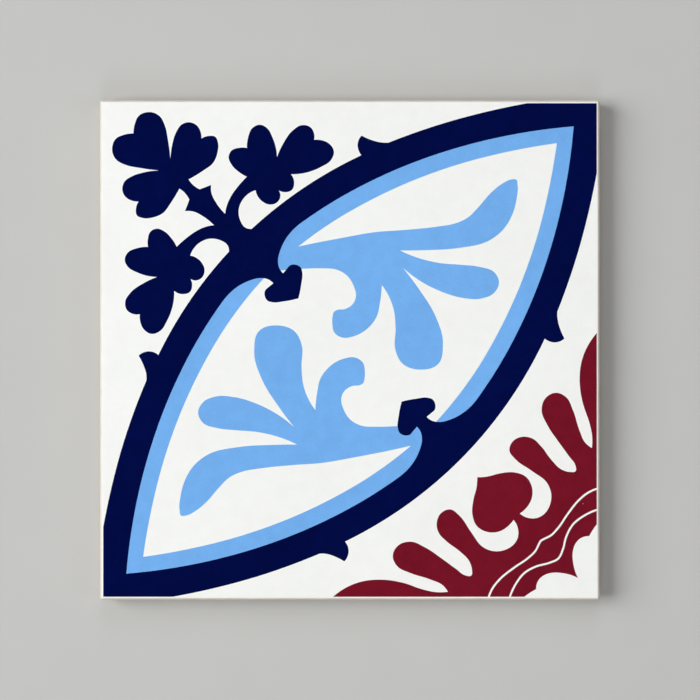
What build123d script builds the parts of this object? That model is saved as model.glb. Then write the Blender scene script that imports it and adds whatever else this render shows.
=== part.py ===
"""A square glazed floor tile, dry-pressed in one piece from stoneware.

It lies on its back with the decorated face up. The origin is the centre of the back,
+X and +Y run along the edges, and +Z points out of the glazed face. Lengths are in mm.
"""

import os

from build123d import *

# Overall size of the tile.
side = 200.0
thickness = 9.0

# The glazed face rolls over into the edge, and the corners are slightly eased in plan.
face_roll_radius = 1.2
corner_radius = 0.8

# Below the face the edge is upright for a while, where the joint is measured.
# It then draws in towards the back, so that the pressed tile leaves its mould.
land_height = 4.2
back_draw_in = 0.8
back_edge_chamfer = 0.4

# The back is keyed for adhesive: square pockets with sloping walls between low ribs.
pocket_side = 23.0
pocket_corner_radius = 2.5
pocket_depth = 0.8
pocket_wall_angle = 40.0
rib_width = 4.0
least_border = 5.0

# Heights of the edge's three stretches, and the size of the back, from the values above.
land_top = thickness - face_roll_radius
land_bottom = land_top - land_height
back_side = side - 2 * back_draw_in
back_corner_radius = corner_radius

# As many pockets as the back has room for, with the rest left as a plain border.
pocket_pitch = pocket_side + rib_width
pockets_across = int((back_side - 2 * least_border + rib_width) // pocket_pitch)


def upright_body():
    """The part of the tile from the bottom of the edge's land to the glazed face."""
    outline = RectangleRounded(side, side, corner_radius)
    return extrude(Pos(0, 0, land_bottom) * outline, thickness - land_bottom)


def drawn_in_body():
    """The part under the land, which narrows towards the back."""
    wide = RectangleRounded(side, side, corner_radius)
    narrow = RectangleRounded(back_side, back_side, back_corner_radius)
    return loft([narrow, Pos(0, 0, land_bottom) * wide], ruled=True)


def pressed_blank():
    """The whole tile with its rolled face edge and its broken back edge, and no pockets."""
    blank = upright_body() + drawn_in_body()
    rim_of_face = blank.faces().sort_by(Axis.Z)[-1].edges()
    blank = fillet(rim_of_face, face_roll_radius)
    rim_of_back = blank.faces().sort_by(Axis.Z)[0].edges()
    return chamfer(rim_of_back, back_edge_chamfer)


def key_pockets():
    """The grid of shallow pockets that leaves the back's ribs and its plain border standing."""
    mouth = RectangleRounded(pocket_side, pocket_side, pocket_corner_radius)
    pocket = extrude(mouth, pocket_depth, taper=pocket_wall_angle)
    places = GridLocations(pocket_pitch, pocket_pitch, pockets_across, pockets_across)
    return [place * pocket for place in places]


def tile():
    """The finished tile as one solid."""
    return pressed_blank() - key_pockets()


os.makedirs("parts", exist_ok=True)
export_step(tile(), "parts/tile.step")
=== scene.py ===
"""A square glazed floor tile with a printed face, rolled edges and a keyed back.

The printed outlines are in millimetres, for a print that reaches PRINT_REACH from the tile's
middle. They lie in a frame turned by 45 degrees: u runs along the leaf, towards the tile's
upper right corner, and v runs from the rosette's corner to the sprig's. All else is in metres.
"""

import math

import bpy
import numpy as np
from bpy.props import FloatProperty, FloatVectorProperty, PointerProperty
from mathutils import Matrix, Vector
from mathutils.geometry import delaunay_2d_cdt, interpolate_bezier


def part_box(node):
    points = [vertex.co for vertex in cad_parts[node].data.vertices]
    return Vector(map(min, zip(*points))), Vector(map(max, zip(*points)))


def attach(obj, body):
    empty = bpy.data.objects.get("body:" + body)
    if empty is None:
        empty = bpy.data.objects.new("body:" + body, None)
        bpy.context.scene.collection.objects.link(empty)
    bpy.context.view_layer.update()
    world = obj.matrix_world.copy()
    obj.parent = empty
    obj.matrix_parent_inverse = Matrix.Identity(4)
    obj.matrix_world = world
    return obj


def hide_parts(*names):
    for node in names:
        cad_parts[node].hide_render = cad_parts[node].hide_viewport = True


bl_info = {
    "name": "Glazed Floor Tile",
    "version": (1, 0, 0),
    "blender": (4, 5, 0),
    "location": "3D View > Sidebar > Floor Tile",
    "description": "Makes a printed and glazed floor tile with a keyed back, and a studio for it",
    "category": "Add Mesh",
}

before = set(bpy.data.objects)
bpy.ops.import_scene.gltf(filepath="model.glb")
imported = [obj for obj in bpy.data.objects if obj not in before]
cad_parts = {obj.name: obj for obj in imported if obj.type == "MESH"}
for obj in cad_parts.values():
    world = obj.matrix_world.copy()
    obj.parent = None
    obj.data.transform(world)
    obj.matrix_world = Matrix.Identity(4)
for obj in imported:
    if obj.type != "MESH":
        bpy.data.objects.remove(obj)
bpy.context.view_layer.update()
tile_low, tile_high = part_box("tile")

MM = 0.001
FINISHES = ("white_glaze", "navy_glaze", "sky_glaze", "maroon_glaze", "fired_body", "kiln_wash")

# The print

PRINT_REACH = 98.72  # from the tile's middle to the print's edge, in the outlines' millimetres
FINENESS = 0.01  # how far a straight step may leave its curve, in those millimetres
NEARLY_STRAIGHT = 0.001  # a turn in radians that needs no curve
LEAST_LEAN = -0.5  # the cosine of the widest angle that a curve's end is taken to make


def corner(u, v):
    """A knot where the outline turns sharply; it is smooth through its other knots."""
    return u, v, "corner"


# The leaf's upper edge, from its lower left tip to its upper right one.
LEAF_EDGE = (
    corner(-145.0, 0.0), corner(-128.0, 13.9), (-110.0, 26.3), (-90.0, 38.0), corner(-66.2, 49.0),
    (-64.2, 51.2), (-62.6, 54.4), corner(-61.4, 58.2), (-58.6, 57.5), (-56.4, 55.4),
    corner(-55.6, 52.8), (-30.0, 59.5), (0.0, 62.2), (30.0, 59.5), corner(58.3, 51.9),
    (59.0, 54.3), (60.8, 56.4), corner(63.9, 57.4), (65.5, 53.3), (67.3, 50.2),
    corner(69.5, 47.8), (90.0, 38.0), (110.0, 26.3), corner(128.0, 13.9), corner(145.0, 0.0),
)
# The upper edge of the sky-blue band inside the leaf, and that of the white field inside it.
BAND_EDGE = (
    corner(-126.5, 0.0), (-110.0, 12.8), (-90.0, 25.5), (-60.0, 39.6), (-30.0, 48.35),
    (0.0, 51.8), (30.0, 48.35), (60.0, 39.6), (90.0, 25.5), (110.0, 12.8), corner(126.5, 0.0),
)
FIELD_EDGE = (
    corner(-117.0, 0.0), (-100.0, 11.9), (-80.0, 23.5), (-50.0, 36.0), (-25.0, 42.4), (0.0, 44.7),
    (25.0, 42.4), (50.0, 36.0), (80.0, 23.5), (100.0, 11.9), corner(117.0, 0.0),
)
# Right half of the knob that stands on the leaf's inner edge and ends in a heart.
KNOB_HALF = (
    corner(0.0, 54.0), corner(26.0, 53.0), corner(26.0, 49.2), (21.0, 49.95), (17.5, 50.1),
    (13.8, 49.7), (9.0, 48.15), (5.0, 45.7), (3.2, 43.2), corner(2.8, 40.6),
    (5.0, 40.8), (7.0, 40.9), (8.9, 39.3), (9.4, 37.3), (8.5, 35.5), (5.0, 32.5),
    corner(0.0, 29.2),
)
# Right half of the sprig, from the notch in its top trefoil down to the leaf.
SPRIG_HALF = (
    corner(0.0, 122.5), (3.4, 125.0), (6.4, 126.0), (9.4, 125.0), (11.6, 122.6), (12.3, 119.8),
    (11.2, 116.0), (8.0, 111.0), corner(3.4, 105.0),
    (8.0, 108.5), (12.5, 110.8), (16.2, 111.4), (19.0, 109.8), (20.2, 106.9), (19.7, 104.5),
    corner(17.8, 101.8), (20.6, 100.5), (22.2, 98.3), (21.4, 96.1), (18.2, 93.2), (14.0, 91.6),
    (9.5, 92.2), corner(2.6, 93.9), (2.3, 91.0), corner(2.9, 88.0),
    (4.6, 87.2), corner(7.4, 86.0), (5.0, 83.2), (3.8, 79.6), corner(3.2, 73.8),
    (6.0, 75.7), (10.5, 77.3), (15.0, 78.0), corner(19.8, 78.2),
    (18.9, 82.0), (18.9, 85.8), (20.6, 89.2), (23.2, 89.9), (25.6, 88.7), corner(28.0, 86.3),
    (31.4, 89.0), (35.5, 90.4), (38.4, 89.0), (39.3, 86.3), (38.2, 82.0), corner(33.9, 75.2),
    (39.5, 77.3), (46.0, 78.3), (50.0, 77.2), (51.8, 74.3), (51.2, 71.6), corner(49.3, 69.6),
    (51.4, 67.2), (52.5, 63.9), (51.6, 60.7), (48.4, 59.1), (43.5, 60.0), corner(33.0, 66.4),
    (31.4, 63.0), (28.8, 61.7), (26.4, 62.9), corner(25.0, 65.2),
    (23.6, 63.0), (21.0, 62.4), (18.4, 63.9), (17.2, 67.0), corner(18.5, 71.9),
    (13.0, 73.0), (8.4, 71.3), (5.5, 67.4), (5.0, 64.3), corner(6.3, 62.2), corner(6.3, 58.0),
    corner(0.0, 58.0),
)
# The palmette at the upper right. The other one is this one half-turned about a point.
PALMETTES_MIDDLE = (0.3, 1.1)
PALMETTE = (
    corner(0.0, 47.0), corner(9.0, 47.4), (20.0, 40.4), (30.0, 33.6), (40.0, 26.6), (50.0, 18.0),
    (60.0, 9.9), (65.5, 6.1), (70.5, 4.2), (77.0, 4.1), (84.0, 4.6), (90.0, 4.0), (94.0, 2.5),
    (95.2, 1.2), (94.2, -0.6), (90.0, -4.3), (84.0, -7.7), (77.0, -9.3), (70.0, -8.3),
    (60.0, -2.2), (50.0, 6.5), corner(42.3, 14.0), (45.0, 7.4), (50.0, -0.8), (55.5, -7.3),
    (60.2, -13.2), (62.8, -19.0), (61.3, -23.0), (57.0, -24.6), (52.0, -22.8), (46.5, -17.0),
    (42.2, -9.0), corner(38.2, 8.2), (36.7, -2.5), (33.8, -14.5), (28.0, -24.6), (20.6, -28.9),
    (14.5, -25.6), (11.0, -18.5), (13.0, -12.6), (19.0, -6.8), (24.0, -0.6), corner(27.4, 9.4),
    (22.0, 5.0), (17.0, 1.9), (11.5, 1.1), (5.0, 2.8), (1.1, 6.1), (0.5, 9.3), (2.4, 12.4),
    (4.7, 14.5), (6.2, 15.3), (7.6, 15.0), (10.0, 13.1), (13.5, 12.2), (16.6, 13.3), (19.2, 17.2),
    (20.2, 22.0), (18.9, 26.6), (15.0, 31.2), (9.3, 36.6), corner(3.0, 42.0),
)
# Right half of the rosette's quarter, from the tip of its heart out past the print's edge.
ROSETTE_HALF = (
    corner(0.0, -72.0), (3.0, -74.6), (7.5, -77.3), (11.8, -81.0), (13.9, -85.6), (12.5, -90.5),
    (9.0, -93.6), (5.5, -94.5), corner(1.8, -94.3), (3.0, -98.0), (5.6, -100.5), (8.8, -101.3),
    (12.4, -100.5), (16.2, -97.6), (18.1, -93.5), (17.3, -86.0), (15.9, -77.5), (16.6, -73.6),
    (20.0, -71.9), (23.8, -73.0), (26.5, -76.4), (26.8, -81.5), (25.9, -88.0), (26.1, -93.8),
    (27.8, -96.8), (29.5, -98.1), (31.0, -96.6), (31.9, -92.0), (33.0, -85.0), (34.6, -77.0),
    (37.2, -71.2), (41.8, -68.9), (46.3, -70.5), (47.8, -74.4), (46.0, -80.2), (42.2, -87.6),
    (40.3, -93.0), corner(40.7, -96.1), (44.0, -93.0), (47.4, -87.8), (50.4, -81.6),
    (56.0, -73.9), (62.0, -68.9), corner(74.7, -65.0), corner(80.0, -72.0), corner(0.0, -153.6),
)
# Right halves of the middle lines of the two fine lines that cross the rosette.
OUTER_LINE_HALF = (
    corner(0.0, -107.9), (1.4, -108.3), (4.0, -109.2), (8.5, -109.2), (15.0, -108.0),
    (22.5, -107.2), (27.0, -107.7), corner(31.5, -109.6),
)
INNER_LINE_HALF = (
    (0.0, -117.9), (3.6, -116.7), (8.5, -113.9), (13.8, -112.4), (19.0, -113.0),
    corner(26.0, -115.8),
)
# Right half of the white flower in the rosette's corner, out past the print's edge.
FLOWER_HALF = (
    corner(0.0, -129.0), (1.1, -126.2), (3.0, -123.2), (5.8, -120.2), (8.8, -118.6),
    (11.6, -118.4), corner(15.0, -120.3), (17.6, -119.6), corner(22.0, -119.0),
    corner(40.0, -160.0), corner(0.0, -160.0),
)


def flip_u(knot):
    """A knot's mirror image on the other side of the line u = 0."""
    return -knot[0], *knot[1:]


def flip_v(knot):
    """A knot's mirror image on the other side of the line v = 0."""
    return knot[0], -knot[1], *knot[2:]


def half_turn(knot):
    """A knot of one palmette as it lies in the other."""
    return 2 * PALMETTES_MIDDLE[0] - knot[0], 2 * PALMETTES_MIDDLE[1] - knot[1], *knot[2:]


def with_mirror(half, flip):
    """A half outline followed back by its mirror image, with the knots on the axis kept once."""
    return [*half, *(flip(knot) for knot in reversed(half) if flip(knot) != knot)]


def way_through(before, here, after):
    """The direction, at the middle one of three points, of the circle through them."""
    came, goes = here - before, after - here
    return (came / came.length_squared + goes / goes.length_squared).normalized()


def way_at_end(end, near, way):
    """The direction at an end, away from near, that makes the stretch between them an arc."""
    chord = near - end
    return 2 * chord.dot(way) / chord.length_squared * chord - way


def handle_length(chord, way):
    """How long a curve's handle is, so that a stretch that bends evenly comes out as an arc."""
    lean = max(LEAST_LEAN, way.dot(chord.normalized()))
    return 2 / 3 * chord.length / (1 + lean)


def stretch(start, leaving, end, arriving):
    """Points on a curve from start up to end, which it doesn't include."""
    chord = end - start
    ahead = chord.normalized()
    turn = leaving.angle(ahead) + arriving.angle(ahead)
    if turn < NEARLY_STRAIGHT:
        return [start]
    # A straight step leaves its arc by an eighth of the arc's length times its turn.
    steps = math.ceil(math.sqrt(chord.length * turn / (8 * FINENESS)))
    first_handle = start + handle_length(chord, leaving) * leaving
    last_handle = end - handle_length(chord, arriving) * arriving
    return interpolate_bezier(start, first_handle, last_handle, end, steps + 1)[:-1]


def smooth_run(points):
    """Points along a run that is sharp at its two ends only, without its last point."""
    if len(points) == 2:
        return points[:1]
    ways = [way_through(*three) for three in zip(points, points[1:], points[2:])]
    ways.insert(0, way_at_end(points[0], points[1], ways[0]))
    ways.append(way_at_end(points[-1], points[-2], ways[-1]))
    line = []
    for start, leaving, end, arriving in zip(points, ways, points[1:], ways[1:]):
        line += stretch(start, leaving, end, arriving)
    return line


def smooth_line(knots):
    """Fine points along an open row of knots whose first and last ones are sharp."""
    sharp = [i for i, knot in enumerate(knots) if len(knot) > 2]
    line = []
    for first, last in zip(sharp, sharp[1:]):
        line += smooth_run([Vector(knot[:2]) for knot in knots[first:last + 1]])
    return [*line, Vector(knots[-1][:2])]


def smooth_outline(knots):
    """Fine points round a closed outline whose first knot is sharp."""
    return smooth_line([*knots, knots[0]])[:-1]


def fine_line(half, width):
    """Both sides of a line of this width, from the right half of its middle line."""
    middle = smooth_line([*(flip_u(knot) for knot in reversed(half) if knot[0]), *half])
    neighbours = zip(middle[:1] + middle, middle[1:] + middle[-1:])
    ways = [after - before for before, after in neighbours]
    across = [Vector((-way.y, way.x)).normalized() * width / 2 for way in ways]
    left = [point + side for point, side in zip(middle, across)]
    right = [point - side for point, side in zip(middle, across)]
    return left + right[::-1]


def print_layers(line_width):
    """The print's finishes and outlines, each of which covers those before it."""
    palmette_back = [half_turn(knot) for knot in PALMETTE]
    knob = with_mirror(KNOB_HALF, flip_u)
    return (
        ("navy_glaze", smooth_outline(with_mirror(LEAF_EDGE, flip_v))),
        ("navy_glaze", smooth_outline(with_mirror(SPRIG_HALF, flip_u))),
        ("sky_glaze", smooth_outline(with_mirror(BAND_EDGE, flip_v))),
        ("white_glaze", smooth_outline(with_mirror(FIELD_EDGE, flip_v))),
        ("sky_glaze", smooth_outline(PALMETTE)),
        ("sky_glaze", smooth_outline(palmette_back)),
        ("navy_glaze", smooth_outline(knob)),
        ("navy_glaze", smooth_outline([flip_v(knot) for knot in knob])),
        ("maroon_glaze", smooth_outline(with_mirror(ROSETTE_HALF, flip_u))),
        ("white_glaze", fine_line(OUTER_LINE_HALF, line_width)),
        ("white_glaze", fine_line(INNER_LINE_HALF, line_width)),
        ("white_glaze", smooth_outline(with_mirror(FLOWER_HALF, flip_u))),
    )


def on_tile(point, scale):
    """A point of the print as it lies on the tile, turned back by 45 degrees."""
    u, v = point * scale * math.sqrt(0.5)
    return Vector((u - v, u + v))


def cut_off(outline, reach):
    """The outline with whatever passes the print's edge laid along that edge."""
    cut = []
    for start, end in zip(outline, outline[1:] + outline[:1]):
        crossings = [
            (edge - start[axis]) / (end[axis] - start[axis])
            for axis in (0, 1) for edge in (-reach, reach)
            if (start[axis] - edge) * (end[axis] - edge) < 0
        ]
        cut += [start.lerp(end, share) for share in (0.0, *sorted(crossings))]
    return [Vector(max(-reach, min(reach, way)) for way in point) for point in cut]


def covers(outline, spots):
    """Which of the spots lie inside the outline, by counting its edges to the right of each."""
    x, y = spots.T
    inside = np.zeros(len(spots), bool)
    for (from_x, from_y), (to_x, to_y) in zip(outline, [*outline[1:], outline[0]]):
        level = (from_y > y) != (to_y > y)
        edge_x = from_x + (y[level] - from_y) * (to_x - from_x) / (to_y - from_y)
        inside[level] ^= x[level] < edge_x
    return inside


# The tile's surface

SIDE_STEPS = 80
CORNER_STEPS = 6
ROLL_STEPS = 10
BREAK_STEPS = 4
GLAZE_END_STEPS = 3
POCKET_CORNER_STEPS = 6
LEAST_CORNER = 0.15 * MM
POCKET_EASING = 0.2 * MM
FLAT_HEM = 0.12 * MM  # keeps the shading of a flat face apart from its rounded edge
MERGE_WITHIN = 1e-7  # points of a flat face that lie this close are one
SHARP_FROM = math.radians(50.0)  # a turn between two faces that shows as a sharp edge

# The map onto which the finishes can be baked: the share of its width that the face and the
# back each take, and where they start in both directions.
MAP_NAME = "OFBake"
FACE_ON_MAP = (0.74, 0.004)
BACK_ON_MAP = (0.244, 0.752)

# The glaze's lower edge: how many waves go round the tile, their height and where they start.
GLAZE_EDGE_WAVES = (
    (3, 0.10 * MM, 0.4), (7, 0.14 * MM, 2.1), (17, 0.12 * MM, 5.0), (29, 0.10 * MM, 1.3),
    (47, 0.08 * MM, 3.7), (71, 0.05 * MM, 0.9),
)


def rounded_square(half, radius, side_steps, corner_steps):
    """Points round a rounded square, anticlockwise from above, from its lower right corner."""
    reach = half - radius
    side = [(half, y) for y in np.linspace(-reach, reach, side_steps, endpoint=False)]
    angles = np.linspace(0, math.pi / 2, corner_steps, endpoint=False)
    turn = [(reach + radius * math.cos(a), reach + radius * math.sin(a)) for a in angles]
    quarter = np.array(side + turn)
    x, y = quarter.T
    return np.vstack([np.column_stack(way) for way in ((x, y), (-y, x), (-x, -y), (y, -x))])


def ring_edges(counts):
    """The edges of closed rings of so many points each, numbered one ring after the other."""
    edges = []
    first = 0
    for count in counts:
        edges += [(first + i, first + (i + 1) % count) for i in range(count)]
        first += count
    return edges


class Surface:
    """The tile's outside as it is made: its points, and its faces with their finishes."""

    def __init__(self):
        self.points = []
        self.faces = []
        self.finishes = []
        self.first_back_face = 0

    def row(self, plan, heights):
        """Adds a closed row of points, all at one height or each at its own, and gives their
        numbers."""
        first = len(self.points)
        heights = np.broadcast_to(heights, len(plan))
        self.points += [(x, y, z) for (x, y), z in zip(plan, heights)]
        return range(first, len(self.points))

    def band(self, start, end, finish):
        """Joins two rows of points, each with its neighbour in the other row."""
        for i in range(len(start)):
            after = (i + 1) % len(start)
            self.faces.append((start[i], end[i], end[after], start[after]))
            self.finishes.append(finish)

    def bands(self, rows, finish):
        """Joins several rows of points one after the other, and gives the last."""
        for start, end in zip(rows, rows[1:]):
            self.band(start, end, finish)
        return rows[-1]

    def flat(self, border, finish, holes=(), layers=(), faces_down=False):
        """Fills the level ground inside a row of points with triangles that follow each layer's
        outline, and leaves out the holes. A layer is a finish and its outline."""
        height = self.points[border[0]][2]
        outlines = [outline for _, outline in layers]
        numbers = [number for row in (border, *holes) for number in row]
        plan = [Vector(self.points[number][:2]) for number in numbers]
        plan += [point for outline in outlines for point in outline]
        edges = ring_edges([len(ring) for ring in (border, *holes, *outlines)])
        spots, _, triangles, origins, _, _ = delaunay_2d_cdt(plan, edges, [], 0, MERGE_WITHIN)
        spots = np.array(spots)
        places = []
        for spot, origin in zip(spots, origins):
            known = [numbers[i] for i in origin if i < len(numbers)]
            if not known:
                known = self.row([spot], height)
            places.append(known[0])
        triangles = np.array(triangles)
        middles = spots[triangles].mean(1)
        kept = np.ones(len(triangles), bool)
        for hole in holes:
            kept &= ~covers([self.points[number][:2] for number in hole], middles)
        worn = np.full(len(triangles), finish, dtype=object)
        for name, outline in layers:
            worn[covers(outline, middles)] = name
        for triangle, name in zip(triangles[kept], worn[kept]):
            face = [places[i] for i in triangle]
            self.faces.append(face[::-1] if faces_down else face)
            self.finishes.append(name)

    def mesh(self, name):
        """The finished surface as a smooth-shaded mesh that wears every finish."""
        mesh = bpy.data.meshes.new(name)
        mesh.from_pydata(self.points, [], self.faces)
        for finish in FINISHES:
            mesh.materials.append(bpy.data.materials[finish])
        worn = [FINISHES.index(finish) for finish in self.finishes]
        mesh.polygons.foreach_set("material_index", worn)
        if mesh.validate():
            raise RuntimeError("the tile's surface has faces that can't stand")
        mesh.shade_smooth()
        mesh.set_sharp_from_angle(angle=SHARP_FROM)
        self.lay_out_map(mesh)
        return mesh

    def lay_out_map(self, mesh):
        """Gives the mesh a map: in one corner the face, large, with the tile's edge folded
        outwards round it, and in the opposite corner the back, small, as seen from below."""
        spots = np.array(self.points)
        plan = spots[:, :2]
        drop = spots[:, 2].max() - spots[:, 2]
        folded = plan * (1 + drop / np.abs(plan).max(1))[:, None]
        first_back_corner = mesh.polygons[self.first_back_face].loop_start
        numbers = np.array([loop.vertex_index for loop in mesh.loops])
        places = np.empty((len(numbers), 2))
        for corners, spread, (share, start) in (
            (slice(0, first_back_corner), folded, FACE_ON_MAP),
            (slice(first_back_corner, None), plan * (-1, 1), BACK_ON_MAP),
        ):
            shown = spread[numbers[corners]]
            low, width = shown.min(0), np.ptp(shown, axis=0).max()
            places[corners] = start + (shown - low) / width * share
        mesh.uv_layers.new(name=MAP_NAME).data.foreach_set("uv", places.ravel())


def glaze_edge_heights(sizes, count):
    """The height of the glaze's lower edge at each point round the tile."""
    way_round = np.linspace(0, 2 * math.pi, count, endpoint=False)
    height = np.full(count, sizes.thickness - sizes.glaze_drop)
    for waves, swing, start in GLAZE_EDGE_WAVES:
        height += swing * np.sin(waves * way_round + start)
    return height


def edge_row(surface, sizes, inset, heights):
    """A row of points round the tile's edge, this far in from its widest outline."""
    radius = max(sizes.corner_radius - inset, LEAST_CORNER)
    plan = rounded_square(sizes.side / 2 - inset, radius, SIDE_STEPS, CORNER_STEPS)
    return surface.row(plan, heights)


def arc_rows(surface, sizes, wide, tall, inset, height, steps, downwards):
    """Rows of points down a quarter round of the edge, this wide and tall, from this inset and
    height. It goes from level to upright, or from upright to level where it turns downwards."""
    rows = []
    for angle in np.linspace(0, math.pi / 2, steps + 1):
        in_by = wide * (1 - math.cos(angle) if downwards else 1 - math.sin(angle))
        down_by = tall * (math.sin(angle) if downwards else 1 - math.cos(angle))
        rows.append(edge_row(surface, sizes, inset + in_by, height - down_by))
    return rows


def printed_face(surface, sizes):
    """The level, printed face, and the row of points round it."""
    border = edge_row(surface, sizes, sizes.face_roll, sizes.thickness)
    reach = sizes.side / 2 - sizes.print_margin
    scale = reach / PRINT_REACH
    corners = (-reach, -reach), (reach, -reach), (reach, reach), (-reach, reach)
    layers = [("white_glaze", [Vector(spot) for spot in corners])]
    for finish, outline in print_layers(sizes.line_width / MM):
        layers.append((finish, cut_off([on_tile(point, scale) for point in outline], reach)))
    surface.flat(border, "white_glaze", layers=layers)
    return border


def glazed_edge(surface, sizes, border):
    """The rolled edge and the glaze below it, down to the glaze's uneven lower edge."""
    rows = [border]
    rows += arc_rows(surface, sizes, sizes.face_roll, sizes.face_roll, 0.0, sizes.thickness,
                     ROLL_STEPS, downwards=False)[1:]
    ends = glaze_edge_heights(sizes, len(border))
    bead = 2 * sizes.glaze_thickness
    upright = sizes.thickness - sizes.face_roll
    rows.append(edge_row(surface, sizes, 0.0, (upright + ends + bead) / 2))
    for angle in np.linspace(0, math.pi / 2, GLAZE_END_STEPS + 1):
        inset = sizes.glaze_thickness * (1 - math.cos(angle))
        rows.append(edge_row(surface, sizes, inset, ends + bead * (1 - math.sin(angle))))
    return surface.bands(rows, "white_glaze")


def bare_edge(surface, sizes, glaze_end):
    """The unglazed edge: upright at first, then drawn in, and broken where it meets the back."""
    rows = [glaze_end]
    draw_in = sizes.back_draw_in - sizes.glaze_thickness
    slope = draw_in / sizes.land_bottom
    at_break = sizes.back_draw_in - slope * sizes.back_break
    rows.append(edge_row(surface, sizes, sizes.glaze_thickness, sizes.land_bottom))
    rows += arc_rows(surface, sizes, sizes.back_break, sizes.back_break, at_break,
                     sizes.back_break, BREAK_STEPS, downwards=True)
    rows.append(edge_row(surface, sizes, at_break + sizes.back_break + FLAT_HEM, 0.0))
    return surface.bands(rows, "fired_body")


def pocket(surface, sizes, middle):
    """One pocket of the back, with an eased mouth and foot. Gives the row round its mouth."""
    easing = POCKET_EASING
    lean = math.tan(sizes.pocket_wall_angle)
    foot = sizes.pocket_depth * lean
    # Each row's inset from the mouth and its depth, from the hem round the mouth to the hem
    # inside the foot. The middle row of an eased edge is a quarter of the easing away from the
    # sharp edge that it replaces, and an eighth of it off the level.
    stations = (
        (-easing - FLAT_HEM, 0.0),
        (-easing, 0.0),
        (-easing / 4, easing / 8),
        (easing * lean, easing),
        (foot - easing * lean, sizes.pocket_depth - easing),
        (foot + easing / 4, sizes.pocket_depth - easing / 8),
        (foot + easing, sizes.pocket_depth),
        (foot + easing + FLAT_HEM, sizes.pocket_depth),
    )
    rows = []
    for inset, depth in stations:
        plan = rounded_square(sizes.pocket_side / 2 - inset, sizes.pocket_corner_radius - inset,
                              1, POCKET_CORNER_STEPS)
        rows.append(surface.row(plan + middle, depth))
    surface.bands(rows, "fired_body")
    surface.faces.append(rows[-1][::-1])
    surface.finishes.append("fired_body")
    return rows[0]


def keyed_back(surface, sizes, border):
    """The level back between the pockets, with as many pockets as it has room for."""
    pitch = sizes.pocket_side + sizes.rib_width
    room = sizes.side - 2 * (sizes.back_draw_in + sizes.least_border) + sizes.rib_width
    across = int(room // pitch)
    lines = (np.arange(across) - (across - 1) / 2) * pitch
    mouths = [pocket(surface, sizes, (x, y)) for x in lines for y in lines]
    surface.flat(border, "kiln_wash", holes=mouths, faces_down=True)


def tile_surface(sizes):
    """The whole tile, from its printed face round the edge to its back."""
    surface = Surface()
    border = printed_face(surface, sizes)
    glaze_end = glazed_edge(surface, sizes, border)
    back_border = bare_edge(surface, sizes, glaze_end)
    surface.first_back_face = len(surface.faces)
    keyed_back(surface, sizes, back_border)
    return surface


# Finishes

GLAZE_RELIEF = 0.02 * MM
CLAY_RELIEF = 0.05 * MM
CLAY_ROUGHNESS = 0.85
ROUGHNESS_DRIFT = 0.03  # how far a glaze's roughness drifts to either side

# How far the white glaze is darkened towards the body's colour: partly the body that shows
# through where the glaze thins, partly painted shade that holds down the brightness of the roll
# and the side. Over the whole roll, more of it on the roll's crown, and down the side.
BODY_AND_SHADE_OVER_ROLL = 0.25
BODY_AND_SHADE_ON_CROWN = 0.38
BODY_AND_SHADE_DOWN_SIDE = 0.10

# Where the Mix node takes its two colours and gives the mixed one, by number, because its other
# kinds of sockets have the same names.
LOWER_COLOUR, UPPER_COLOUR, MIXED_COLOUR = 6, 7, 2

# What each shared group of nodes gives to the finishes that use it.
SURFACE_OUTPUTS = {
    "Colour": "NodeSocketColor",
    "Roughness": "NodeSocketFloat",
    "Height": "NodeSocketFloat",
}


def seen_as(red, green, blue):
    """A colour as a screen shows it, from 0 to 255, turned into linear light by the screen's own
    standard curve."""
    shares = [value / 255 for value in (red, green, blue)]
    return [s / 12.92 if s <= 0.04045 else ((s + 0.055) / 1.055) ** 2.4 for s in shares]


def opaque(colour):
    """A colour with full cover."""
    return (*colour[:3], 1.0)


def add(tree, kind, inputs=(), **settings):
    """Adds a node with these settings, and fills its inputs with values or nodes' outputs."""
    node = tree.nodes.new(kind)
    for name, value in settings.items():
        setattr(node, name, value)
    for name, value in dict(inputs).items():
        if isinstance(value, bpy.types.NodeSocket):
            tree.links.new(value, node.inputs[name])
        else:
            node.inputs[name].default_value = value
    return node


def sum_of(tree, *terms):
    """Adds up several values, each multiplied by its share."""
    total = 0.0
    for value, share in terms:
        inputs = {0: value, 1: share, 2: total}
        total = add(tree, "ShaderNodeMath", inputs, operation="MULTIPLY_ADD").outputs[0]
    return total


def product(tree, value, share):
    """One value multiplied by another."""
    return sum_of(tree, (value, share))


def blended(tree, share, lower, upper):
    """A mix of two colours, with all of the upper one where the share is 1."""
    inputs = {"Factor": share, LOWER_COLOUR: lower, UPPER_COLOUR: upper}
    return add(tree, "ShaderNodeMix", inputs, data_type="RGBA").outputs[MIXED_COLOUR]


def either_light(tree, share, first, second):
    """The light of the first shader, or of the second one where the share is 1."""
    return add(tree, "ShaderNodeMixShader", {0: share, 1: first, 2: second}).outputs[0]


def between(tree, value, low, high, to_low=0.0, to_high=1.0):
    """A value carried over smoothly from one range to another, and held inside it."""
    inputs = {"Value": value, "From Min": low, "From Max": high,
              "To Min": to_low, "To Max": to_high}
    return add(tree, "ShaderNodeMapRange", inputs, interpolation_type="SMOOTHSTEP").outputs[0]


def place_on_object(tree):
    """Where the shaded point lies on its object, in metres."""
    return tree.nodes.new("ShaderNodeTexCoord").outputs["Object"]


def noise(tree, place, per_metre, detail):
    """Cloudy noise with so many clouds in a metre, from 0 to 1."""
    inputs = {"Vector": place, "Scale": per_metre, "Detail": detail}
    return add(tree, "ShaderNodeTexNoise", inputs).outputs["Fac"]


def to_both_sides(tree, clouds):
    """Noise from 0 to 1 turned into a swing from -1 to 1."""
    return sum_of(tree, (clouds, 2.0), (1.0, -1.0))


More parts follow.
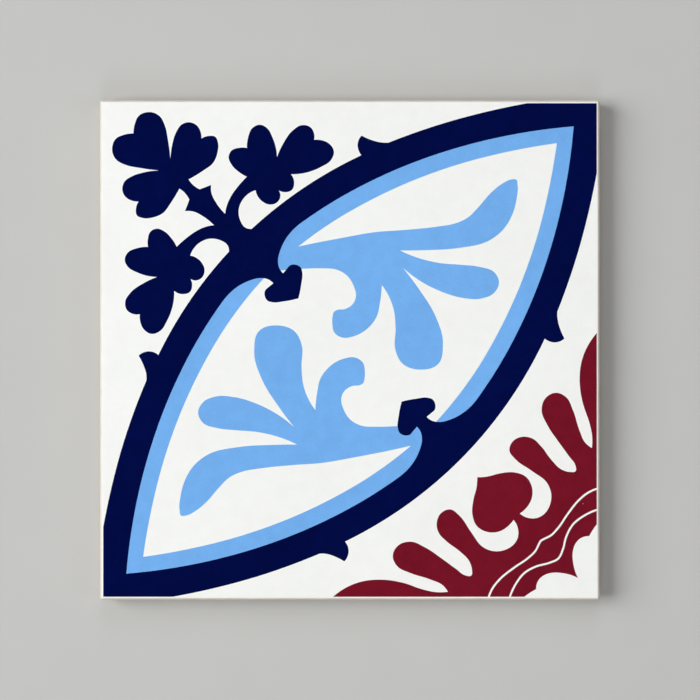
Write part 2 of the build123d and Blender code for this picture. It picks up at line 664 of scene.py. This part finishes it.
def flecks(tree, place, per_metre, rarity, widest):
    """A mask of round flecks of uneven size, one in each cell that beats the rarity. The widest
    one's radius is a share of its cell."""
    cells = add(tree, "ShaderNodeTexVoronoi", {"Vector": place, "Scale": per_metre})
    chance = add(tree, "ShaderNodeSeparateColor", {"Color": cells.outputs["Color"]})
    radius = between(tree, chance.outputs[0], rarity, 1.0, 0.0, widest)
    return between(tree, cells.outputs["Distance"], radius, 0.0)


def new_group(name, inputs, outputs):
    """A node group with these sockets, and its input node. A colour has four numbers."""
    group = bpy.data.node_groups.new(name, "ShaderNodeTree")
    for title, default in inputs.items():
        kind = "NodeSocketColor" if hasattr(default, "__len__") else "NodeSocketFloat"
        socket = group.interface.new_socket(title, in_out="INPUT", socket_type=kind)
        socket.default_value = default
    for title, kind in outputs.items():
        group.interface.new_socket(title, in_out="OUTPUT", socket_type=kind)
    return group, group.nodes.new("NodeGroupInput").outputs


def glaze_surface():
    """The group that gives every glaze its drifting and pooled tone, its stipple, its rare
    pinholes and its soft dimples."""
    group, given = new_group(
        "glaze_surface",
        {"Colour": (0.8, 0.8, 0.8, 1.0), "Speck Colour": (0.3, 0.25, 0.2, 1.0),
         "Tone Drift": 0.02, "Stipple": 0.02, "Roughness": 0.3, "Roughness Drift": 0.04},
        SURFACE_OUTPUTS,
    )
    place = place_on_object(group)
    drift = to_both_sides(group, noise(group, place, per_metre=24.0, detail=3.0))
    pooling = to_both_sides(group, noise(group, place, per_metre=190.0, detail=3.0))
    dimples = noise(group, place, per_metre=280.0, detail=2.0)
    stipple = noise(group, place, per_metre=1600.0, detail=2.0)
    stippling = to_both_sides(group, stipple)
    pinholes = flecks(group, place, per_metre=150.0, rarity=0.86, widest=0.032)
    speck = product(group, pinholes, 0.7)
    tone = sum_of(group, (drift, given["Tone Drift"]), (pooling, given["Tone Drift"]),
                  (stippling, given["Stipple"]), (1.0, 1.0))
    inputs = {0: given["Colour"], "Scale": tone}
    toned = add(group, "ShaderNodeVectorMath", inputs, operation="SCALE").outputs[0]
    colour = blended(group, speck, toned, given["Speck Colour"])
    roughness = sum_of(group, (drift, given["Roughness Drift"]),
                       (stippling, given["Roughness Drift"]),
                       (speck, 0.3), (1.0, given["Roughness"]))
    height = sum_of(group, (dimples, 0.8), (stipple, 0.1), (speck, -0.6))
    add(group, "NodeGroupOutput", {"Colour": colour, "Roughness": roughness, "Height": height})
    return group


def fired_grain():
    """The group that gives fired clay its mottling, its pale grains, its iron specks, its pits
    with painted shade in them, and its grit."""
    group, given = new_group(
        "fired_grain",
        {"Colour": (0.6, 0.5, 0.4, 1.0), "Grain Colour": (0.7, 0.65, 0.55, 1.0),
         "Speck Colour": (0.2, 0.12, 0.08, 1.0), "Roughness": 0.85},
        SURFACE_OUTPUTS,
    )
    place = place_on_object(group)
    cloud = noise(group, place, per_metre=60.0, detail=5.0)
    mottling = noise(group, place, per_metre=900.0, detail=4.0)
    grit = noise(group, place, per_metre=3200.0, detail=3.0)
    pale_grain = flecks(group, place, per_metre=1500.0, rarity=0.45, widest=0.42)
    iron_speck = flecks(group, place, per_metre=560.0, rarity=0.5, widest=0.2)
    pit = flecks(group, place, per_metre=900.0, rarity=0.6, widest=0.2)
    paler = sum_of(group, (cloud, 0.5), (mottling, 1.1), (pale_grain, 0.5), (1.0, -0.55))
    # The iron specks are the clay's own colour; the pits are darkened as painted shade, on top of
    # their sunk relief.
    specks_and_pit_shade = sum_of(group, (iron_speck, 0.8), (pit, 0.45))
    colour = blended(group, paler, given["Colour"], given["Grain Colour"])
    colour = blended(group, specks_and_pit_shade, colour, given["Speck Colour"])
    roughness = sum_of(group, (grit, 0.2), (1.0, given["Roughness"]), (1.0, -0.1))
    height = sum_of(group, (grit, 0.35), (mottling, 0.5), (cloud, 0.5), (pit, -0.9))
    add(group, "NodeGroupOutput", {"Colour": colour, "Roughness": roughness, "Height": height})
    return group


def new_finish(name):
    """A material with only its shader and output, ready for the rest of its nodes."""
    material = bpy.data.materials.new(name)
    material.use_nodes = True
    return material.node_tree, material.node_tree.nodes["Principled BSDF"]


def placed(tree, group, values):
    """A group placed in a material with its own values, as its three outputs."""
    node = add(tree, "ShaderNodeGroup", node_tree=group)
    for name, value in values.items():
        node.inputs[name].default_value = value
    return [node.outputs[name] for name in SURFACE_OUTPUTS]


def dress(tree, shader, colour, roughness, height, relief):
    """Feeds a shader its colour, its roughness and a relief of this real height."""
    bump = add(tree, "ShaderNodeBump", {"Height": height, "Distance": relief})
    tree.links.new(colour, shader.inputs["Base Color"])
    tree.links.new(roughness, shader.inputs["Roughness"])
    tree.links.new(bump.outputs[0], shader.inputs["Normal"])


def coloured_glaze(name, colour, speck_colour, group, sizes, unevenness):
    """One printed colour under the satin glaze. Its unevenness is the share by which its tone
    varies."""
    tree, shader = new_finish(name)
    values = {"Colour": opaque(colour), "Speck Colour": opaque(speck_colour),
              "Tone Drift": unevenness, "Stipple": unevenness,
              "Roughness": sizes.glaze_roughness, "Roughness Drift": ROUGHNESS_DRIFT}
    dress(tree, shader, *placed(tree, group, values), relief=GLAZE_RELIEF)


def white_glaze(colour, body_colour, group, sizes):
    """The white glaze, darkened towards the body's colour over the whole roll, most of all on its
    crown, and again down the side: partly the body that shows through where the glaze thins,
    partly painted shade that keeps the roll and the side from shining brighter than the face."""
    tree, shader = new_finish("white_glaze")
    values = {"Colour": opaque(colour), "Speck Colour": opaque(body_colour),
              "Tone Drift": 0.03, "Stipple": 0.02,
              "Roughness": sizes.glaze_roughness, "Roughness Drift": ROUGHNESS_DRIFT}
    base, roughness, height = placed(tree, group, values)
    place = place_on_object(tree)
    level = add(tree, "ShaderNodeSeparateXYZ", {0: place}).outputs["Z"]
    top, roll = sizes.thickness, sizes.face_roll
    # Each mask goes from 0 at the first of its two heights to 1 at the second.
    over_roll = between(tree, level, top - 0.002 * roll, top - 0.12 * roll)
    above_side = between(tree, level, top - 1.3 * roll, top - 0.6 * roll)
    down_side = between(tree, level, top - roll, top - sizes.glaze_drop)
    crown = product(tree, over_roll, above_side)
    body_and_shade = sum_of(tree, (over_roll, BODY_AND_SHADE_OVER_ROLL), (crown, BODY_AND_SHADE_ON_CROWN),
                     (down_side, BODY_AND_SHADE_DOWN_SIDE))
    clouds = noise(tree, place, per_metre=140.0, detail=4.0)
    patches = sum_of(tree, (clouds, 0.8), (1.0, 0.6))
    # Painted shade: the roll and the side are darkened towards the body's colour beyond what thin
    # glaze shows, to hold back their brightness.
    thinned_and_shaded = blended(tree, product(tree, body_and_shade, patches), base, opaque(body_colour))
    dress(tree, shader, thinned_and_shaded, roughness, height, relief=GLAZE_RELIEF)


def bare_clay(tree, colours, group):
    """The fired clay's colour, roughness and height."""
    values = {"Colour": opaque(colours.body), "Grain Colour": opaque(colours.grain),
              "Speck Colour": opaque(colours.speck), "Roughness": CLAY_ROUGHNESS}
    return placed(tree, group, values)


def fired_body(colours, group):
    """The bare clay of the edge and of the back's pockets."""
    tree, shader = new_finish("fired_body")
    dress(tree, shader, *bare_clay(tree, colours, group), relief=CLAY_RELIEF)


def kiln_wash(colours, group):
    """The clay of the ribs, with the chalky wash that keeps them from sticking to the kiln."""
    tree, shader = new_finish("kiln_wash")
    clay, roughness, height = bare_clay(tree, colours, group)
    inputs = {"Vector": place_on_object(tree), "Scale": 90.0, "Detail": 6.0,
              "Roughness": 0.65, "Distortion": 0.6}
    smears = add(tree, "ShaderNodeTexNoise", inputs)
    wash = between(tree, smears.outputs["Fac"], 0.4, 0.62)
    colour = blended(tree, product(tree, wash, 0.85), clay, opaque(colours.wash))
    height = sum_of(tree, (height, 1.0), (wash, 0.8))
    dress(tree, shader, colour, roughness, height, relief=CLAY_RELIEF)


def make_finishes(sizes, colours):
    """Every finish of the tile."""
    glaze = glaze_surface()
    grain = fired_grain()
    white_glaze(colours.white, colours.body, glaze, sizes)
    coloured_glaze("navy_glaze", colours.navy, colours.sky, glaze, sizes, unevenness=0.20)
    coloured_glaze("sky_glaze", colours.sky, colours.white, glaze, sizes, unevenness=0.08)
    coloured_glaze("maroon_glaze", colours.maroon, colours.white, glaze, sizes, unevenness=0.15)
    fired_body(colours, grain)
    kiln_wash(colours, grain)


# What a user may change


def length(name, default, description):
    """A size, shown in the scene's own unit of length."""
    return FloatProperty(name=name, description=description, default=default, min=0.0,
                         precision=5, subtype="DISTANCE", unit="LENGTH")


def shade(name, shown, description):
    """A colour, given as a screen shows it."""
    return FloatVectorProperty(name=name, description=description, default=seen_as(*shown),
                               min=0.0, max=1.0, size=3, subtype="COLOR")


class TileSizes(bpy.types.PropertyGroup):
    """The tile's sizes, of which the first two come from the fixed frame."""

    side: length("Side", tile_high.x - tile_low.x, "Width and length of the tile")
    thickness: length("Thickness", tile_high.z - tile_low.z, "From the back to the glazed face")
    corner_radius: length("Corner Radius", 0.8 * MM, "Rounding of the tile's four corners")
    face_roll: length("Face Roll", 1.2 * MM, "Radius where the face rolls over into the edge")
    print_margin: length("Print Margin", 1.28 * MM, "White glaze left between print and edge")
    line_width: length("Line Width", 0.76 * MM, "Width of the fine lines across the rosette")
    glaze_thickness: length("Glaze Thickness", 0.12 * MM, "Step from the glaze to the bare edge")
    glaze_drop: length("Glaze Drop", 3.5 * MM, "How far the glaze runs down the edge on average")
    land_bottom: length("Land Bottom", 3.6 * MM, "Height where the edge starts to draw in")
    back_draw_in: length("Back Draw-in", 0.8 * MM, "How much narrower each side is at the back")
    back_break: length("Back Break", 0.4 * MM, "Rounding between the edge and the back")
    pocket_side: length("Pocket Side", 23.0 * MM, "Width of a pocket's mouth in the back")
    pocket_corner_radius: length("Pocket Corner Radius", 2.5 * MM, "Rounding of a pocket's mouth")
    pocket_depth: length("Pocket Depth", 0.8 * MM, "How deep the back's pockets are")
    rib_width: length("Rib Width", 4.0 * MM, "Width of the ribs between the pockets")
    least_border: length("Least Border", 5.0 * MM, "Plain border that the back keeps at least")
    pocket_wall_angle: FloatProperty(
        name="Pocket Wall Angle", description="How far a pocket's walls lean from upright",
        default=math.radians(40.0), min=0.0, max=math.radians(75.0),
        subtype="ANGLE", unit="ROTATION")
    glaze_roughness: FloatProperty(
        name="Glaze Roughness", description="From a mirror, 0, to a matt glaze, 1",
        default=0.24, min=0.0, max=1.0, subtype="FACTOR")


class TileColours(bpy.types.PropertyGroup):
    """The colours of the glazes and of the clay."""

    white: shade("White Glaze", (244, 245, 242), "The ground of the face and the edge")
    navy: shade("Navy Glaze", (1, 10, 66), "The leaf, its knobs and the sprig")
    sky: shade("Sky Glaze", (116, 175, 238), "The band inside the leaf and the palmettes")
    maroon: shade("Maroon Glaze", (115, 19, 37), "The rosette")
    body: shade("Fired Body", (196, 180, 158), "The clay of the edge and the back")
    grain: shade("Grain", (222, 212, 196), "Paler grains in the clay")
    speck: shade("Speck", (110, 84, 62), "Dark iron specks in the clay")
    wash: shade("Kiln Wash", (232, 229, 222), "The chalky wash on the back's ribs")


class StudioSettings(bpy.types.PropertyGroup):
    """The floor, the lamps and the camera that show the tile."""

    floor_colour: shade("Floor", (193, 193, 191), "The plain floor under the tile")
    floor_width: length("Floor Width", 6.0, "Width and length of the floor")
    camera_height: length("Camera Height", 0.90, "Height of the camera above the face")
    frame_width: length("Frame Width", 280.0 * MM, "How much the camera sees across, at the face")
    lamp_distance: length("Lamp Distance", 3.2, "How far the lamps stand from the tile")
    light_level: FloatProperty(
        name="Light Level", description="At 1, a level surface shows its colour as it is written",
        default=1.0, min=0.0, subtype="FACTOR")


# The studio

# For each lamp: the way it stands round the tile and its height above the horizon, both in
# degrees, its width in metres, and its share of the light that falls on a level surface.
LAMPS = {
    "key_lamp": (174.0, 37.0, 2.3, 0.62),
    "right_fill_lamp": (-12.0, 40.0, 1.6, 0.11),
    "upper_fill_lamp": (88.0, 38.0, 1.6, 0.11),
    "lower_fill_lamp": (-92.0, 38.0, 1.6, 0.11),
}
AMBIENT_SHARE = 0.05
GLAZE_PASSES = 0.97  # the share of the light that reaches a colour through its glaze

# What the glaze mirrors: nearly nothing overhead, and pale walls towards the horizon.
MIRRORED_OVERHEAD = 0.01
MIRRORED_WALLS = 0.30
WALLS_END = 0.75  # the sine of the angle above the horizon at which nothing of the walls is left

DARKEST_FLOOR = 0.96  # of the floor's colour, where its mottling is darkest
FLOOR_FADE = (0.3, 1.5)  # how far from the middle the evenly lit floor sets in, and is all


def place_lamp(name, studio, way, rise, width, share):
    """A square lamp that faces the tile and gives a level surface this share of its light. It
    shines through a polariser, so that it doesn't glare in the glaze."""
    distance = studio.lamp_distance
    spread = distance ** 2 + width ** 2 / 3  # the rim of a wide lamp is farther off
    lamp = bpy.data.lights.new(name, "AREA")
    lamp.shape = "SQUARE"
    lamp.size = width
    reaching = studio.light_level * share / GLAZE_PASSES
    lamp.energy = reaching * math.pi ** 2 * spread / math.sin(rise)
    stand = bpy.data.objects.new(name, lamp)
    level = math.cos(rise)
    towards = Vector((level * math.cos(way), level * math.sin(way), math.sin(rise)))
    stand.location = distance * towards
    stand.rotation_euler = stand.location.to_track_quat("Z", "Y").to_euler()
    stand.visible_glossy = False
    bpy.context.collection.objects.link(stand)


def floor_finish(colour_shown):
    """Plain pale floor with a barely visible mottling. Away from the tile, where the lamps reach
    less, the camera sees its colour evenly lit, so that it runs into the background."""
    tree, shader = new_finish("studio_floor")
    shader.inputs["Specular IOR Level"].default_value = 0.2
    shader.inputs["Roughness"].default_value = 0.9
    place = place_on_object(tree)
    clouds = noise(tree, place, per_metre=40.0, detail=4.0)
    darkest = [DARKEST_FLOOR * value for value in colour_shown]
    mottled = blended(tree, clouds, opaque(darkest), opaque(colour_shown))
    tree.links.new(mottled, shader.inputs["Base Color"])
    away = add(tree, "ShaderNodeVectorMath", {0: place}, operation="LENGTH").outputs["Value"]
    seen = tree.nodes.new("ShaderNodeLightPath").outputs["Is Camera Ray"]
    far = product(tree, between(tree, away, *FLOOR_FADE), seen)
    inputs = {"Color": opaque(colour_shown), "Strength": 1.0}
    evenly_lit = add(tree, "ShaderNodeEmission", inputs).outputs[0]
    surface = either_light(tree, far, shader.outputs[0], evenly_lit)
    tree.links.new(surface, tree.nodes["Material Output"].inputs["Surface"])
    return bpy.data.materials["studio_floor"]


def lay_floor(studio):
    """The floor that the tile lies on."""
    half = studio.floor_width / 2
    corners = (-half, -half, 0), (half, -half, 0), (half, half, 0), (-half, half, 0)
    mesh = bpy.data.meshes.new("studio_floor")
    mesh.from_pydata(corners, [], [(0, 1, 2, 3)])
    mesh.materials.append(floor_finish(studio.floor_colour))
    floor = bpy.data.objects.new("studio_floor", mesh)
    bpy.context.collection.objects.link(floor)


def from_all_round(tree, colour, strength):
    """Light of this colour and strength from every direction."""
    inputs = {"Color": colour, "Strength": strength}
    return add(tree, "ShaderNodeBackground", inputs).outputs[0]


def light_air(studio):
    """The faint light from all round, what the glaze mirrors, and the floor's colour behind."""
    world = bpy.data.worlds.new("studio_air")
    bpy.context.scene.world = world
    world.use_nodes = True
    tree = world.node_tree
    tree.nodes.clear()
    level = studio.light_level
    way = tree.nodes.new("ShaderNodeTexCoord").outputs["Generated"]
    rise = add(tree, "ShaderNodeSeparateXYZ", {0: way}).outputs["Z"]
    mirrored = between(tree, rise, WALLS_END, 0.0,
                       level * MIRRORED_OVERHEAD, level * MIRRORED_WALLS)
    white = opaque((1.0, 1.0, 1.0))
    rays = tree.nodes.new("ShaderNodeLightPath").outputs
    ambient = from_all_round(tree, white, level * AMBIENT_SHARE)
    sheen = from_all_round(tree, white, mirrored)
    behind = from_all_round(tree, opaque(studio.floor_colour), 1.0)
    light = either_light(tree, rays["Is Glossy Ray"], ambient, sheen)
    light = either_light(tree, rays["Is Camera Ray"], light, behind)
    add(tree, "ShaderNodeOutputWorld", {"Surface": light})


def aim_camera(studio, face_height):
    """A long lens that looks straight down on the middle of the face."""
    lens = bpy.data.cameras.new("camera")
    lens.sensor_fit = "HORIZONTAL"
    lens.angle = 2 * math.atan(studio.frame_width / 2 / studio.camera_height)
    camera = bpy.data.objects.new("camera", lens)
    camera.location = (0.0, 0.0, face_height + studio.camera_height)
    bpy.context.collection.objects.link(camera)
    bpy.context.scene.camera = camera


# The add-on


class FLOORTILE_OT_make_tile(bpy.types.Operator):
    """Make the printed, glazed tile in the place of the plain one"""

    bl_idname = "floor_tile.make_tile"
    bl_label = "Make Tile"
    bl_options = {"REGISTER", "UNDO"}

    def execute(self, context):
        """Makes the finishes, then the tile, and seats it on the frame."""
        sizes = context.scene.tile_sizes
        make_finishes(sizes, context.scene.tile_colours)
        tile = bpy.data.objects.new("glazed_tile", tile_surface(sizes).mesh("glazed_tile"))
        context.collection.objects.link(tile)
        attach(tile, "root")
        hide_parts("tile")
        return {"FINISHED"}


class FLOORTILE_OT_make_studio(bpy.types.Operator):
    """Make the floor, the soft lamps and the camera"""

    bl_idname = "floor_tile.make_studio"
    bl_label = "Make Studio"
    bl_options = {"REGISTER", "UNDO"}

    def execute(self, context):
        """Sets up the studio round the tile."""
        studio = context.scene.studio_settings
        lay_floor(studio)
        light_air(studio)
        for name, (way, rise, width, share) in LAMPS.items():
            place_lamp(name, studio, math.radians(way), math.radians(rise), width, share)
        aim_camera(studio, context.scene.tile_sizes.thickness)
        context.scene.view_settings.view_transform = "Standard"
        return {"FINISHED"}


class FLOORTILE_PT_sidebar(bpy.types.Panel):
    """Everything that makes the tile and its studio"""

    bl_idname = "FLOORTILE_PT_sidebar"
    bl_label = "Floor Tile"
    bl_space_type = "VIEW_3D"
    bl_region_type = "UI"
    bl_category = "Floor Tile"

    def draw(self, context):
        """Lists each operator above the values that it uses."""
        for operator, groups in (
            (FLOORTILE_OT_make_tile, ("tile_sizes", "tile_colours")),
            (FLOORTILE_OT_make_studio, ("studio_settings",)),
        ):
            self.layout.operator(operator.bl_idname)
            for group in groups:
                values = getattr(context.scene, group)
                column = self.layout.column(align=True)
                for name in values.__annotations__:
                    column.prop(values, name)


VALUE_GROUPS = {
    "tile_sizes": TileSizes,
    "tile_colours": TileColours,
    "studio_settings": StudioSettings,
}
CLASSES = (
    *VALUE_GROUPS.values(),
    FLOORTILE_OT_make_tile,
    FLOORTILE_OT_make_studio,
    FLOORTILE_PT_sidebar,
)


def register():
    """Adds the classes, and a place in each scene for their values."""
    for cls in CLASSES:
        bpy.utils.register_class(cls)
    for name, group in VALUE_GROUPS.items():
        setattr(bpy.types.Scene, name, PointerProperty(type=group))


def unregister():
    """Takes away what register added."""
    for name in VALUE_GROUPS:
        delattr(bpy.types.Scene, name)
    for cls in reversed(CLASSES):
        bpy.utils.unregister_class(cls)


def main():
    """Makes the tile and its studio."""
    register()
    bpy.ops.floor_tile.make_tile()
    bpy.ops.floor_tile.make_studio()


if __name__ == "__main__":
    main()
